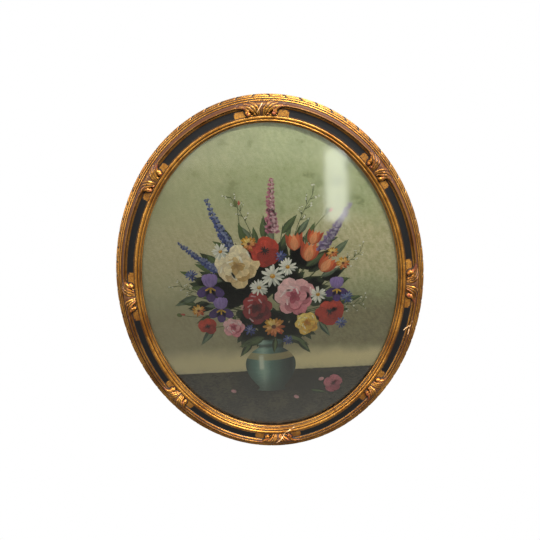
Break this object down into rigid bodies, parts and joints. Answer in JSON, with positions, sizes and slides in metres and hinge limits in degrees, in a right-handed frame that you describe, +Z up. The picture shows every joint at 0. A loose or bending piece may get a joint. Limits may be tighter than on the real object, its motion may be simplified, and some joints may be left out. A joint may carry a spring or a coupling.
{
  "type": "framed oil painting",
  "caption": "Oval painting on board under glass, in a carved and gilded wooden frame with black bands, with a closed back and a flush hanger for the wall.",
  "frame": {"origin": "on the flat back of the frame, at the middle of the top rail, where the picture bears on the wall", "axes": "+Z up the picture, -Y out of its front towards the viewer, +Y into the wall, +X to the viewer's right"},
  "size_m": [0.4756, 0.0302, 0.5776],
  "materials": {
    "gilded_wood": "carved wood, gold leaf over red bole with a brown wash and black bands, satin",
    "clear_glass": "clear picture glass, polished",
    "oil_on_board": "oil paint on hardboard, low relief brushwork, satin varnish",
    "backing_board": "bare brown hardboard, matt",
    "point_steel": "thin zinc-plated steel, dull",
    "hanger_brass": "brass-plated steel, dulled"
  },
  "bodies": {
    "root": {"frame": "gilded_wood", "glass": "clear_glass", "painting": "oil_on_board", "backing_board": "backing_board", "glazing_point_1": "point_steel", "glazing_point_2": "point_steel", "glazing_point_3": "point_steel", "glazing_point_4": "point_steel", "glazing_point_5": "point_steel", "glazing_point_6": "point_steel", "glazing_point_7": "point_steel", "glazing_point_8": "point_steel", "hanger_plate": "hanger_brass", "hanger_screw_left": "hanger_brass", "hanger_screw_right": "hanger_brass"}
  },
  "joints": []
}
